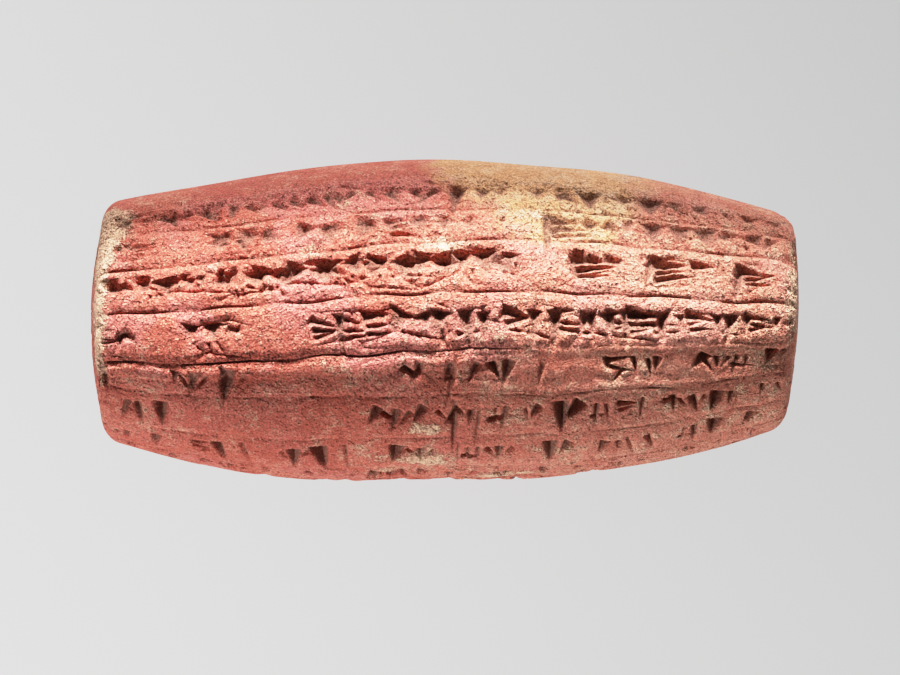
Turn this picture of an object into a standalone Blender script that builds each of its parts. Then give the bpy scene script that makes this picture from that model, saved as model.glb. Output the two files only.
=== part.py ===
"""A barrel-shaped cylinder of fired clay, lying on its side. Ruled lines run along it from end to end, and
wedge-shaped strokes are pressed into the rows between them. They are plain strokes and spell nothing.

Metres, +Z up, +X along the axis. The origin is under the middle, on the small flat that it rests on.
Angles round the axis are in degrees: 0 faces straight up (+Z), and 90 faces +Y."""

import math
import random

import bmesh
import bpy
from mathutils import Vector

MM = 0.001

# The barrel's outline
LENGTH = 113.0 * MM
BELLY_RADIUS = 25.75 * MM
BELLY_OFFSET = 1.6 * MM
LEFT_END_RADIUS = 18.4 * MM
RIGHT_END_RADIUS = 16.3 * MM
LEFT_FULLNESS = 2.2
RIGHT_FULLNESS = 1.95
EDGE_ROUNDING = 2.6 * MM
LEFT_END_DOME = 2.0 * MM
RIGHT_END_DOME = 1.2 * MM
RIGHT_END_LEAN = 0.05
RIGHT_END_LEAN_REACH = 14.0 * MM

# What the hand left: the axis wanders a little to each side of the belly, and the wall has shallow dents
LEFT_WANDER = 0.36 * MM
RIGHT_WANDER = 0.1 * MM
WANDER_PITCH = 72.0 * MM
DENT_DEPTH = 0.16 * MM

# The small flat underneath
REST_FLAT_DEPTH = 0.5 * MM
REST_BARE_LENGTH = 30.0 * MM

# The ruled rows
ROW_COUNT = 20
FIRST_RULING_ANGLE = 61.5
ROW_ANGLE = 360.0 / ROW_COUNT
ROW_SWELL = 0.42 * MM
SMOOTH_ROW_SWELL = 0.15 * MM
SWOLLEN_ROWS = (0, 1, 2, 3, 4, 8, 9, 14, 15, 16)
CREST_SHARE = 0.74
SHOULDER_ROW = 4
SHOULDER_CREST_SHARE = 0.24
RULING_DEPTH = 0.45 * MM
FAINT_RULING_DEPTH = 0.12 * MM
RULING_WIDTH = 0.9 * MM
FAINT_RULINGS = (5, 6, 7, 11, 12)
WORN_RULINGS = (0, 18, 19)

# How far a ruling strays from its even place, in degrees, at the left end, the middle and the right end
RULING_STRAY = {
    0: (0.0, 0.0, 4.0),
    1: (0.5, -1.0, 6.0),
    2: (-2.5, 3.0, 7.0),
    3: (-5.0, 2.0, 0.5),
    4: (-9.0, 0.0, -0.5),
    5: (-3.0, 1.5, 0.0),
    6: (-7.0, 1.0, 0.0),
    7: (-7.0, -1.0, 0.0),
}
OTHER_STRAY = 1.2

# Where strokes stand, a letter for each place in a row: V is upright, H level, D slanting, K a short nick and
# W a wide hollow. Small letters are fine strokes, too slight to cut into this solid. A dot is bare clay.
TEXT_MARGIN = 2.0 * MM
ROW_PLANS = (
    "KDKK.DKKDK.KDKKWDK.KKDKVKKDKK.DKKWKD.KDK",
    ".KDr..WKDKr.WK.WKDKWKk....WKDK.KKrDWKKDW",
    "KKWKDWKrWKWKWWKWrKWKrWKD...KWH.KWKHr.WKD",
    "KWD..DWrK...KWKWrWKDKKWK.WHKWK.WKrWH.DWK",
    "VV...KkVk.........KDV.DDVh..k.WKVr.WKKkK",
    "KVvV............KkKDV.kkV..K.hDrrVVD.k..",
    ".k.V..KKv..DDvv..KkK.VDK......KV........",
    "........K..v.kv.kkv..Vk.vk.K.k...VkKk...",
)
HIDDEN_TEXT_ROWS = 10
HIDDEN_PLAN_SEED = 11
PLACES_IN_ROW = len(ROW_PLANS[0])

# The strokes: length along the tail, width across the head, depth, and the way the tail points, in degrees
# from +X towards a smaller angle round the axis
STROKES = {
    "V": (5.3 * MM, 2.3 * MM, 1.5 * MM, 90.0),
    "H": (5.0 * MM, 2.2 * MM, 1.45 * MM, 0.0),
    "D": (4.4 * MM, 2.1 * MM, 1.35 * MM, 52.0),
    "K": (2.9 * MM, 2.8 * MM, 1.4 * MM, 25.0),
    "W": (3.0 * MM, 5.0 * MM, 1.7 * MM, 92.0),
}
STROKE_SHARE_DOWN_ROW = {"V": 0.3, "H": 0.34, "D": 0.32, "K": 0.36, "W": 0.28}
DEEPEST_SHARE = 0.22
STROKE_JITTER = 0.35 * MM
STROKE_TURN = 9.0
STROKE_SPREAD = 0.18
STROKE_SEED = 7
CUTTER_LIFT = 0.7 * MM

# How finely the solid is faceted
STATIONS = 15
ROUNDING_STEPS = 3
DOME_RINGS = 2

CLAY_COLOUR = (0.55, 0.19, 0.14, 1.0)
CLAY_ROUGHNESS = 0.9

LEFT_END = -LENGTH / 2
RIGHT_END = LENGTH / 2
AXIS_HEIGHT = BELLY_RADIUS + SMOOTH_ROW_SWELL - REST_FLAT_DEPTH


def barrel_radius(x):
    """The radius of the wall at x, carried straight on to the ends as if their edges weren't rounded."""
    if x < BELLY_OFFSET:
        end, end_radius, fullness = LEFT_END, LEFT_END_RADIUS, LEFT_FULLNESS
    else:
        end, end_radius, fullness = RIGHT_END, RIGHT_END_RADIUS, RIGHT_FULLNESS
    share = min(1.0, abs((x - BELLY_OFFSET) / (end - BELLY_OFFSET)))
    return BELLY_RADIUS - (BELLY_RADIUS - end_radius) * share**fullness


def dents(x, angle):
    """Shallow waves that a hand leaves in a rolled barrel. Whole waves round the axis, so that they close."""
    turn = math.radians(angle)
    along = 2 * math.pi * x / LENGTH
    return DENT_DEPTH * (
        math.sin(2 * turn + 1.9 * along + 0.6)
        + 0.7 * math.sin(3 * turn - 2.7 * along + 2.1)
        + 0.5 * math.sin(5 * turn + 4.3 * along)
    )


def place(x, radius, angle):
    """The point at this radius and angle, with the barrel's wander and the lean of its right end."""
    turn = math.radians(angle)
    y = radius * math.sin(turn)
    z = radius * math.cos(turn)
    near_end = max(0.0, 1 - (RIGHT_END - x) / RIGHT_END_LEAN_REACH)
    reach = LEFT_WANDER if x < BELLY_OFFSET else RIGHT_WANDER
    wander = reach * (math.cos(2 * math.pi * (x - BELLY_OFFSET) / WANDER_PITCH) - 1)
    return Vector((x + RIGHT_END_LEAN * y * near_end**2, y + wander, z + AXIS_HEIGHT))


def ruling_angle(ruling, x):
    """The angle of a ruled line at x. Ruling ROW_COUNT is ruling 0, one turn on."""
    along = 2 * x / LENGTH
    number = ruling % ROW_COUNT
    if number in RULING_STRAY:
        left, middle, right = RULING_STRAY[number]
        stray = middle + along * (right - left) / 2 + along**2 * ((right + left) / 2 - middle)
    else:
        stray = OTHER_STRAY * math.sin(1.7 * number + 2.2 * along)
    return FIRST_RULING_ANGLE - ROW_ANGLE * ruling + stray


def angle_in_row(row, share, x):
    """The angle at a share of the way down a row, from the ruled line above it to the one below."""
    above = ruling_angle(row, x)
    below = ruling_angle(row + 1, x)
    return above + (below - above) * share


def crest_share(row):
    """How far down a row it stands highest: low, just over the next ruling, but high on the shoulder row."""
    return SHOULDER_CREST_SHARE if row == SHOULDER_ROW else CREST_SHARE


def wall_radius(x, angle, row, share):
    """The wall between the rulings. Each row swells to a crest and falls to the next ruling."""
    crest = crest_share(row)
    rise = share / crest if share < crest else (1 - share) / (1 - crest)
    swell = ROW_SWELL if row in SWOLLEN_ROWS else SMOOTH_ROW_SWELL
    return barrel_radius(x) + dents(x, angle) + swell * math.sin(math.pi / 2 * rise)


def ruling_depth(ruling):
    if ruling in WORN_RULINGS:
        return 0.0
    return FAINT_RULING_DEPTH if ruling in FAINT_RULINGS else RULING_DEPTH


def barrel_rings():
    """(x, how far inside the wall, how much of the rows shows) for each ring, from left rim to right rim."""
    left_rim = LEFT_END + LEFT_END_DOME
    right_rim = RIGHT_END - RIGHT_END_DOME
    rings = []
    for step in range(ROUNDING_STEPS):
        turn = math.pi / 2 * step / ROUNDING_STEPS
        inset = EDGE_ROUNDING * (1 - math.sin(turn))
        from_rim = EDGE_ROUNDING * (1 - math.cos(turn))
        rings.append((from_rim, inset, step / ROUNDING_STEPS))
    first = left_rim + EDGE_ROUNDING
    last = right_rim - EDGE_ROUNDING
    wall = [(first + (last - first) * i / STATIONS, 0.0, 1.0) for i in range(STATIONS + 1)]
    left = [(left_rim + d, inset, shown) for d, inset, shown in rings]
    right = [(right_rim - d, inset, shown) for d, inset, shown in reversed(rings)]
    return left + wall + right


def ring_points(x, inset, shown):
    """One ring round the barrel, with a ruled groove at the top of each row and a crest lower down."""
    half_groove = RULING_WIDTH / 2 / (math.radians(ROW_ANGLE) * BELLY_RADIUS)
    points = []
    for row in range(ROW_COUNT):
        for share in (0.0, half_groove, crest_share(row), 1 - half_groove):
            angle = angle_in_row(row, share, x)
            smooth = barrel_radius(x) + dents(x, angle)
            rows = wall_radius(x, angle, row, share) - smooth
            if share == 0.0:
                rows -= ruling_depth(row)
            points.append(place(x, smooth - inset + rows * shown, angle))
    return points


def dome_points(end, direction, dome, rim, share):
    """A ring on a slightly domed end, at a share of the way out from its centre to the rim."""
    return [
        Vector((end + direction * dome * share**2 + (p.x - (end + direction * dome)) * share, 0, 0))
        + Vector((0, p.y, p.z - AXIS_HEIGHT)) * share
        + Vector((0, 0, AXIS_HEIGHT))
        for p in rim
    ]


def bridge(mesh, first, second):
    """Faces between two rings of vertices. Seen from the left end, the rings run anticlockwise."""
    count = len(first)
    for i in range(count):
        j = (i + 1) % count
        mesh.faces.new((first[i], first[j], second[j], second[i]))


def build_barrel():
    mesh = bmesh.new()
    rings = [ring_points(*ring) for ring in barrel_rings()]
    dome_shares = [i / (DOME_RINGS + 1) for i in range(1, DOME_RINGS + 1)]
    left = [dome_points(LEFT_END, 1, LEFT_END_DOME, rings[0], s) for s in dome_shares]
    right = [dome_points(RIGHT_END, -1, RIGHT_END_DOME, rings[-1], s) for s in dome_shares]
    rows = [[mesh.verts.new(p) for p in ring] for ring in left + rings + right[::-1]]
    for first, second in zip(rows, rows[1:]):
        bridge(mesh, first, second)
    for centre_x, ring in ((LEFT_END, rows[0]), (RIGHT_END, rows[-1])):
        centre = mesh.verts.new((centre_x, 0, AXIS_HEIGHT))
        for i in range(len(ring)):
            mesh.faces.new((centre, ring[i], ring[(i + 1) % len(ring)]))
    bmesh.ops.recalc_face_normals(mesh, faces=mesh.faces)
    return new_object("clay_cylinder", mesh)


def new_object(name, mesh):
    data = bpy.data.meshes.new(name)
    mesh.to_mesh(data)
    mesh.free()
    made = bpy.data.objects.new(name, data)
    bpy.context.scene.collection.objects.link(made)
    return made


def hidden_plans():
    """Plans for the rows that face away, in the same manner: groups of strokes with gaps between them."""
    dice = random.Random(HIDDEN_PLAN_SEED)
    plans = []
    for _ in range(HIDDEN_TEXT_ROWS):
        plan = ""
        while len(plan) < PLACES_IN_ROW:
            plan += "".join(dice.choice("VHKWDvhkr") for _ in range(dice.randint(2, 5)))
            plan += "." * dice.randint(1, 4)
        plans.append(plan[:PLACES_IN_ROW])
    return plans


def stroke_places():
    """(kind, row, x) for every stroke that is cut into the solid. The flat underneath stays bare."""
    pitch = (LENGTH - 2 * TEXT_MARGIN) / PLACES_IN_ROW
    for row, plan in enumerate((*ROW_PLANS, *hidden_plans())):
        for number, kind in enumerate(plan):
            x = LEFT_END + TEXT_MARGIN + pitch * (number + 0.5)
            middle = math.cos(math.radians(angle_in_row(row, 0.5, x)))
            on_flat = middle < -math.cos(math.radians(ROW_ANGLE)) and abs(x) < REST_BARE_LENGTH / 2
            if kind in STROKES and not on_flat:
                yield kind, row, x


def wedge_corners(kind, row, x, dice):
    """A wedge's deepest point, and its outline's corners on the wall: two of the head, and the tip."""
    size = 1 + dice.uniform(-STROKE_SPREAD, STROKE_SPREAD)
    length, width, depth = (size * value for value in STROKES[kind][:3])
    turn = math.radians(STROKES[kind][3] + dice.uniform(-STROKE_TURN, STROKE_TURN))
    x += dice.uniform(-STROKE_JITTER, STROKE_JITTER)
    share = STROKE_SHARE_DOWN_ROW[kind]
    angle = angle_in_row(row, share, x)
    radius = wall_radius(x, angle, row, share)
    swell = radius - barrel_radius(x) - dents(x, angle)

    def on_wall(along, across, down=0.0):
        dx = along * math.cos(turn) - across * math.sin(turn)
        dy = along * math.sin(turn) + across * math.cos(turn)
        at = x + dx
        there = angle - math.degrees(dy / radius)
        return place(at, barrel_radius(at) + dents(at, there) + swell - down, there)

    start = -length * DEEPEST_SHARE
    deepest = on_wall(0, 0, depth)
    corners = [on_wall(start, -width / 2), on_wall(start, width / 2), on_wall(start + length, 0)]
    return deepest, corners, depth


def build_stroke_cutter():
    """Every wedge in one cutter: each is a pyramid on its deepest point, carried on above the wall."""
    dice = random.Random(STROKE_SEED)
    mesh = bmesh.new()
    for kind, row, x in stroke_places():
        deepest, corners, depth = wedge_corners(kind, row, x, dice)
        reach = (depth + CUTTER_LIFT) / depth
        bottom = mesh.verts.new(deepest)
        top = [mesh.verts.new(deepest + (corner - deepest) * reach) for corner in corners]
        mesh.faces.new(top)
        for i in range(3):
            mesh.faces.new((bottom, top[i], top[(i + 1) % 3]))
    bmesh.ops.recalc_face_normals(mesh, faces=mesh.faces)
    return new_object("stroke_cutter", mesh)


def build_flat_cutter():
    """A block under the barrel, which takes off the sliver that reaches below z = 0."""
    mesh = bmesh.new()
    bmesh.ops.create_cube(mesh, size=1.0)
    side = LENGTH + 2 * BELLY_RADIUS
    bmesh.ops.scale(mesh, vec=(side, side, BELLY_RADIUS), verts=mesh.verts)
    bmesh.ops.translate(mesh, vec=(0, 0, -BELLY_RADIUS / 2), verts=mesh.verts)
    return new_object("flat_cutter", mesh)


def cut(target, cutter, self_crossing=False):
    cutter.hide_render = True
    cutter.display_type = "WIRE"
    modifier = target.modifiers.new(cutter.name, "BOOLEAN")
    modifier.operation = "DIFFERENCE"
    modifier.solver = "EXACT"
    modifier.use_self = self_crossing
    modifier.object = cutter


def clay_material():
    material = bpy.data.materials.new("fired_clay")
    material.use_nodes = True
    shader = material.node_tree.nodes["Principled BSDF"]
    shader.inputs["Base Color"].default_value = CLAY_COLOUR
    shader.inputs["Roughness"].default_value = CLAY_ROUGHNESS
    shader.inputs["Metallic"].default_value = 0.0
    return material


def main():
    for thing in list(bpy.data.objects):
        bpy.data.objects.remove(thing)
    barrel = build_barrel()
    cut(barrel, build_stroke_cutter(), self_crossing=True)
    cut(barrel, build_flat_cutter())
    barrel.data.materials.append(clay_material())


main()
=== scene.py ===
import math
import random

import bpy
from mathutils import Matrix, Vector


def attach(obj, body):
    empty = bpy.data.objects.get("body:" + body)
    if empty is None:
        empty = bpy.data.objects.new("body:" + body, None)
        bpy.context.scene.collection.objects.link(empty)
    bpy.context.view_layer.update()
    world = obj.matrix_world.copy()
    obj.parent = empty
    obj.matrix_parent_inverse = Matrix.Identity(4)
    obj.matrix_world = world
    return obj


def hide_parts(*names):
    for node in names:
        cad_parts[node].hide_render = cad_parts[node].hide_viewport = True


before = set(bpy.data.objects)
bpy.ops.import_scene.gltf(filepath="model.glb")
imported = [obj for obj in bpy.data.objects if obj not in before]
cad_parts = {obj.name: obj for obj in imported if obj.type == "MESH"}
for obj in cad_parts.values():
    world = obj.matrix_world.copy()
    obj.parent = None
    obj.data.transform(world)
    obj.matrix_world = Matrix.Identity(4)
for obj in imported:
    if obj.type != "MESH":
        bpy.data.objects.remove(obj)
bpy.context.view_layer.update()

mm = 0.001
print("frame loaded:", list(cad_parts))

# the barrel as the solid has it; x runs from end to end, and angles go round it from 0 (up) to 90 (+Y)
barrel = {
    "Length": 113.0 * mm,
    "Belly Radius": 25.75 * mm,
    "Belly Offset": 1.6 * mm,
    "Left Radius": 18.4 * mm,
    "Right Radius": 16.3 * mm,
    "Left Fullness": 2.2,
    "Right Fullness": 1.95,
    "Edge Rounding": 2.6 * mm,
    "Left Dome": 2.0 * mm,
    "Right Dome": 1.2 * mm,
    "Lean": 0.05,
    "Lean Reach": 14.0 * mm,
    "Left Wander": 0.36 * mm,
    "Right Wander": 0.1 * mm,
    "Wander Pitch": 72.0 * mm,
    "Dent Depth": 0.16 * mm,
    "Axis Height": (25.75 + 0.15 - 0.5) * mm,
}

# how finely the clay is meshed before it is thinned; Gather draws the mesh closer on the side facing up
fineness = {"Segments": 900, "Rings": 620, "End Rings": 36, "Gather": 0.5}
plainRadius = 18.0 * mm               # of the plain cylinder that is swollen into the barrel
trianglesKept = 196000

# rounds of smoothing
blurs = {"rise": 2, "sandy": 14, "stroke": 1, "near": 30, "around": 180, "height": 80}

# the relief, as heights and depths from the smooth barrel
relief = {
    "Press Reach": 3.2 * mm,          # how far under the wall strokes are looked for
    "Rise Above Line": 1.8 * mm,      # how soon a row rises above the ruled line under it
    "Rise Below Line": 2.0 * mm,      # and how slowly it rises below the line over it
    "Trough Top": 1.5 * mm,           # crowded strokes press the clay down from here below a line
    "Trough Wall": 0.7 * mm,
    "Trough Floor": 0.9 * mm,
    "Trough Rise": 2.6 * mm,
    "Trough Jag": 1.1 * mm,           # how far its edge wanders up and down
    "Trough Pitch": 2.6 * mm,         # and how soon it breaks off and starts again
    "Shoulder Middle": 1.9 * mm,      # below the line that it follows
    "Shoulder Reach": 1.5 * mm,
    "Ruling Width": 0.26 * mm,
    "Clear From": 0.3 * mm,           # lumps fade out towards a ruled line, from Clear To down to here
    "Clear To": 1.4 * mm,
    "Lip Height": 0.5,                # clay pushed up beside a worn stroke, as a share of the stroke's depth
    "Crisp Lip Height": 0.22,         # and beside a crisp one
    "Lip Edge": 0.12 * mm,            # a place pressed deeper than this has no lip
    "Sink": 0.45,                     # how far clay sinks round a stroke, as a share of its depth
    "Stray": 0.22 * mm,               # how far a worn stroke's edge wanders
    "Stray Size": 1.9 * mm,
    "Lump Height": 0.72 * mm,         # lumps where worn strokes crowd
    "Lump Size": 4.4 * mm,
    "Lump Edge": 0.3,                 # how much of a lump rounds off into the crease round it
    "Lumps From": 0.8 * mm,           # lumps are lower near the line over them, and full from Lumps To on
    "Lumps To": 2.8 * mm,
    "Pillow Height": 0.22 * mm,       # broad soft swellings, and crumbs on them
    "Pillow Size": 3.0 * mm,
    "Crumb Height": 0.06 * mm,
    "Crumb Size": 1.2 * mm,
    "Highest": 0.0,                   # how far the clay may stand up
    "Highest On Top": 0.35 * mm,      # and how much further where it faces up
    "Highest Softness": 0.15 * mm,
    "Inside": 0.02 * mm,              # how far all of it is drawn in, to stay inside the solid's box
    "Wear Depth": 0.45 * mm,          # shallow worn places along the lower side
    "Wear Size": 6.5 * mm,
    "Wear From": 21.0 * mm,           # how far from the middle plane it starts, and how soon it is full
    "Wear Reach": 4.0 * mm,
    "Chip Depth": 0.7 * mm,           # chips out of the edges of both ends
    "Chip Size": 3.6 * mm,
    "Chip Reach": 4.5 * mm,
    "Full Press": 1.6 * mm,           # the depth that the colours take as fully pressed
    "Full Stand": 0.5 * mm,           # and the height over its surroundings that they take as 1
}

# the ruled rows, numbered down from the first; a line strays by so many degrees at its left, middle and right
rows = {
    "count": 20,
    "firstLine": 61.5,
    "stray": {
        0: (0.0, 0.0, 6.5), 1: (0.5, -1.0, 6.0), 2: (-2.5, 3.0, 7.0), 3: (-5.0, 2.0, 0.5),
        4: (-9.0, 0.0, -0.5), 5: (-3.0, 1.5, 0.0), 6: (-7.0, 1.0, 0.0), 7: (-7.0, -1.0, 0.0),
    },
    "otherStray": 1.2,
    "lineDepth": 0.36 * mm,
    "faintDepth": 0.14 * mm,
    "linePress": (0.35, 0.85, 0.5),   # shares of its depth along a line: the least, the middle and the swing
    "faintLines": (5, 6, 7, 11, 12),
    "wornLines": (0, 18, 19),
    "swell": 0.42 * mm,
    "smoothSwell": 0.12 * mm,
    "trough": {0: (0.6, 0.1), 1: (0.6, 0.1), 2: (1.0, 0.6), 3: (0.45, 0.15), 4: (0.2, 0.2)},
    "otherTrough": (0.3, 0.3),        # mm deep, at the left and the right end
    "smoothFrom": 5,                  # rows on the lower face, with no trough
    "smoothTo": 7,
    # how much larger strokes are than their plain size, at the left and the right end
    "heavier": {0: (1.1, 0.95), 1: (1.1, 0.95), 2: (1.0, 1.1), 3: (0.95, 1.05), 4: (1.0, 0.95)},
    "otherHeavier": (1.0, 1.0),
    "crowdReach": 2.4 * mm,           # how far a stroke counts towards how crowded its row is
    "crowdWeight": {"A": 1.0, "M": 1.0, "C": 0.8, "Z": 0.8, "E": 0.8, "F": 0.8, "k": 0.3, "v": 0.2, "r": 0.4},
    "otherCrowdWeight": 0.5,
    "swollen": (0, 1, 2, 3, 8, 9, 14, 15, 16),
    "shoulderLine": 4,
    "shoulder": 0.55 * mm,
    "shoulderEnd": (-3.0 * mm, 14.0 * mm),
    "sunk": 0.2 * mm,                 # how far the row under the shoulder sinks where the shoulder has ended
    # how much longer, wider and deeper strokes are, all along a row
    "pressure": {
        0: (1.0, 1.1, 0.8), 1: (1.0, 1.1, 0.8), 2: (1.0, 1.1, 1.0), 3: (1.05, 1.1, 0.75),
        4: (1.0, 1.1, 0.95), 5: (1.05, 1.1, 1.25), 6: (1.1, 1.25, 1.6), 7: (1.1, 1.25, 2.2),
    },
    "otherPressure": (1.1, 1.2, 1.5),
    "lower": {3: 0.04, 0: 0.16},      # how much further down its row a stroke starts
    # how worn and sandy a row is; 0 is smooth
    "sandiness": {
        0: 0.85, 1: 1.0, 2: 1.0, 3: 1.0, 4: 0.35, 5: 0.22, 6: 0.25, 7: 0.5, 8: 0.6, 9: 0.5, 18: 0.3, 19: 0.22,
    },
    "otherSandiness": 0.3,
    "wobble": 0.45,                   # degrees that a hand strays as it rules
    "step": 0.8 * mm,
    "margin": 2.0 * mm,
    "bareLength": 30.0 * mm,
}

# a letter for each place in a row, and a dot for bare clay; none of the letters stands for a real sign
plans = (
    "D.DQ.D.DD.Q.DD.V.D.QD.D.D.DD.Q.D.DQ.D.Q.DV..W.C...W..D.A...D..A...D.A...D...A...",
    "..kD.r.......K.M.F.K...k.M.K..K.M.r.K.M.kM....k.....vE..Z.K...A...D.A...D.A.....",
    ".K.k..M.C.Z.C.K.M.C.M.Z.M.K.A..C.M.Kr.M.K..A.K.F......K.E.L....k.E..L....K.E....",
    ".B.K........A..Kk.........B..E..B.k.M..F...P..h.B..P..B..P..BvE..P...B...P..B...",
    "V.v......J.Y...V.q.................D.J..Vt.Q.D.V...v......J.X..vV....J.Y..N..J.j",
    "G...N..V........................J.Y..J.d.tG...N..vj..V.J..N..X...hV.Y...G...j.v.",
    "Y..v..V.....X...t.....Y..V..t.....J..Y...t.N..Y.....V.j....G...v....N..J...j....",
    "...j....v...j..Y...v....j....v...G...j..v..j...Y...j...j....N..j....j...v...j...",
)

# the rows that face away
hidden = {"rows": 10, "seed": 11, "places": 40, "letters": "VHKWDJGYNXvhkr"}

# each stroke: length along its tail, width across its head, depth, and the way the tail points, in degrees
strokes = {
    "V": (5.3 * mm, 2.3 * mm, 1.5 * mm, 90.0),
    "H": (5.0 * mm, 2.2 * mm, 1.45 * mm, 0.0),
    "L": (6.4 * mm, 2.3 * mm, 1.5 * mm, 2.0),
    "D": (4.4 * mm, 2.1 * mm, 1.35 * mm, 52.0),
    "Q": (4.2 * mm, 2.0 * mm, 1.3 * mm, 128.0),
    "K": (2.9 * mm, 2.8 * mm, 1.25 * mm, 25.0),
    "W": (4.2 * mm, 4.4 * mm, 1.4 * mm, 92.0),
    "v": (4.2 * mm, 1.0 * mm, 0.85 * mm, 90.0),
    "t": (6.8 * mm, 0.7 * mm, 0.65 * mm, 90.0),
    "h": (3.6 * mm, 0.9 * mm, 0.75 * mm, 0.0),
    "d": (3.2 * mm, 0.9 * mm, 0.8 * mm, 55.0),
    "q": (3.2 * mm, 0.9 * mm, 0.8 * mm, 125.0),
    "f": (2.7 * mm, 0.75 * mm, 0.6 * mm, 90.0),
    "k": (1.9 * mm, 1.7 * mm, 0.9 * mm, 35.0),
    "J": (3.8 * mm, 2.3 * mm, 1.6 * mm, 112.0),
    "j": (2.9 * mm, 1.6 * mm, 1.1 * mm, 108.0),
}
# how far down its row a stroke or group sits, as a share of the row
shareDown = {"A": 0.3, "M": 0.3, "C": 0.32, "W": 0.3, "V": 0.3, "L": 0.32, "D": 0.32, "Q": 0.32, "t": 0.22,
             "J": 0.28, "j": 0.3}
otherShareDown = 0.36

# letters that stand for a few strokes: (stroke, along, down, size, turn, sunk) for each, in mm and degrees
groups = {
    "A": (("W", -2.3, -0.2, 0.8, 10, 0.1), ("W", 1.6, -0.4, 0.9, -14, 0.1), ("V", 4.2, 0.1, 0.6, 14, 0.1),
          ("f", -1.5, 2.6, 1.0, 28, 0.0), ("f", -0.4, 2.8, 1.0, 8, 0.0), ("f", 0.7, 2.8, 1.0, -10, 0.0),
          ("f", 1.8, 2.5, 1.0, -28, 0.0)),
    "M": (("W", -1.7, 0.0, 0.85, 8, 0.0), ("W", 1.9, 0.3, 0.75, -16, 0.1), ("f", -1.2, 3.0, 1.0, 20, 0.0),
          ("f", -0.2, 3.2, 1.0, 0, 0.0), ("f", 0.8, 3.1, 1.0, -18, 0.0)),
    "B": (("H", -2.2, -0.3, 0.85, 2, 0.1), ("h", -1.6, 1.3, 1.3, 0, 0.1), ("h", -1.5, 2.4, 1.2, 0, 0.1),
          ("V", 2.4, 0.0, 0.7, 4, 0.1)),
    "P": (("V", -1.3, 0.0, 0.85, 6, 0.1), ("V", 1.5, 0.2, 0.85, -8, 0.1), ("h", -2.2, 3.0, 1.1, 0, 0.0)),
    "C": (("W", 0.0, 0.0, 0.7, -12, 0.0), ("h", -1.0, 2.6, 1.0, 0, 0.0)),
    "Z": (("W", 0.3, -0.2, 0.6, 22, 0.1), ("v", -1.8, 0.0, 0.9, 14, 0.0)),
    "E": (("v", -2.2, -0.3, 1.3, 0, 0.2), ("H", -1.4, -0.2, 1.0, 0, 0.1), ("h", -1.2, 1.7, 1.5, 0, 0.2),
          ("h", -1.1, 2.8, 1.4, 0, 0.15)),
    "F": (("W", 0.0, -0.4, 0.7, 0, 0.1), ("d", -1.3, 0.9, 1.2, 10, 0.1), ("d", -0.2, 1.2, 1.2, 22, 0.1),
          ("d", 0.9, 1.2, 1.1, 36, 0.1)),
    "G": (("J", -1.3, 0.0, 1.0, 0, 0.0), ("j", 1.0, 0.3, 1.0, 0, 0.0), ("t", 2.3, -0.2, 0.8, 0, 0.0)),
    "Y": (("V", 0.0, 0.0, 0.75, 0, 0.0), ("d", -2.0, 0.2, 1.0, -8, 0.0), ("q", 1.9, 0.2, 1.0, 8, 0.0)),
    "N": (("v", -1.1, 0.0, 1.1, 0, 0.0), ("v", 0.5, 0.0, 1.1, 0, 0.0), ("h", -1.8, 1.8, 1.1, 0, 0.0)),
    "X": (("h", -1.7, -0.4, 1.1, 0, 0.0), ("h", -1.6, 0.9, 1.1, 0, 0.0), ("v", 1.9, -0.5, 1.2, 0, 0.0),
          ("q", 0.2, 1.4, 0.9, 0, 0.0)),
    "r": (("h", -0.9, 0.0, 1.1, 0, 0.1), ("h", -0.8, 1.15, 1.1, 0, 0.1), ("h", -0.9, 2.3, 1.0, 0, 0.1)),
}

# how much one press differs from the next, and the stylus; a stroke is deepest at a share of its length
press = {"seed": 7, "jitter": 0.35 * mm, "turn": 17.0, "spread": 0.3, "deepestShare": 0.14, "lift": 0.7 * mm}


def arithmetic(operation):
    # what Python does for a field on the left of a sign, and for one on its right
    def onLeft(self, other):
        return calc(self.tree, operation, self, other)

    def onRight(self, other):
        return calc(self.tree, operation, other, self)

    return onLeft, onRight


class Field:
    # a value inside a node tree; plain arithmetic on it adds math nodes
    def __init__(self, tree, socket):
        self.tree = tree
        self.socket = socket

    def __neg__(self):
        return self * -1.0

    __add__, __radd__ = arithmetic("ADD")
    __sub__, __rsub__ = arithmetic("SUBTRACT")
    __mul__, __rmul__ = arithmetic("MULTIPLY")
    __truediv__, __rtruediv__ = arithmetic("DIVIDE")


def wire(tree, target, value):
    if isinstance(value, Field):
        tree.links.new(value.socket, target)
    else:
        target.default_value = value


def addNode(tree, kind, inputs=None, **settings):
    made = tree.nodes.new(kind)
    for name, value in settings.items():
        setattr(made, name, value)
    for name, value in (inputs or {}).items():
        wire(tree, made.inputs[name], value)
    return made


def out(tree, made, name=0):
    return Field(tree, made.outputs[name])


def field(tree, kind, inputs=None, output=0, **settings):
    # a new node's output
    return out(tree, addNode(tree, kind, inputs, **settings), output)


def calc(tree, operation, *values):
    made = addNode(tree, "ShaderNodeMath", operation=operation)
    for socket, value in zip(made.inputs, values):
        wire(tree, socket, value)
    return out(tree, made)


def vectorCalc(tree, operation, *values):
    made = addNode(tree, "ShaderNodeVectorMath", operation=operation)
    for socket, value in zip(made.inputs, values):
        wire(tree, socket, value)
    return out(tree, made)


def scaled(tree, vector, factor):
    made = addNode(tree, "ShaderNodeVectorMath", {"Scale": factor}, operation="SCALE")
    wire(tree, made.inputs[0], vector)
    return out(tree, made)


def vector(tree, x, y, z):
    return field(tree, "ShaderNodeCombineXYZ", {"X": x, "Y": y, "Z": z})


def parts(tree, value):
    made = addNode(tree, "ShaderNodeSeparateXYZ", {"Vector": value})
    return [out(tree, made, axis) for axis in "XYZ"]


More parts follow.
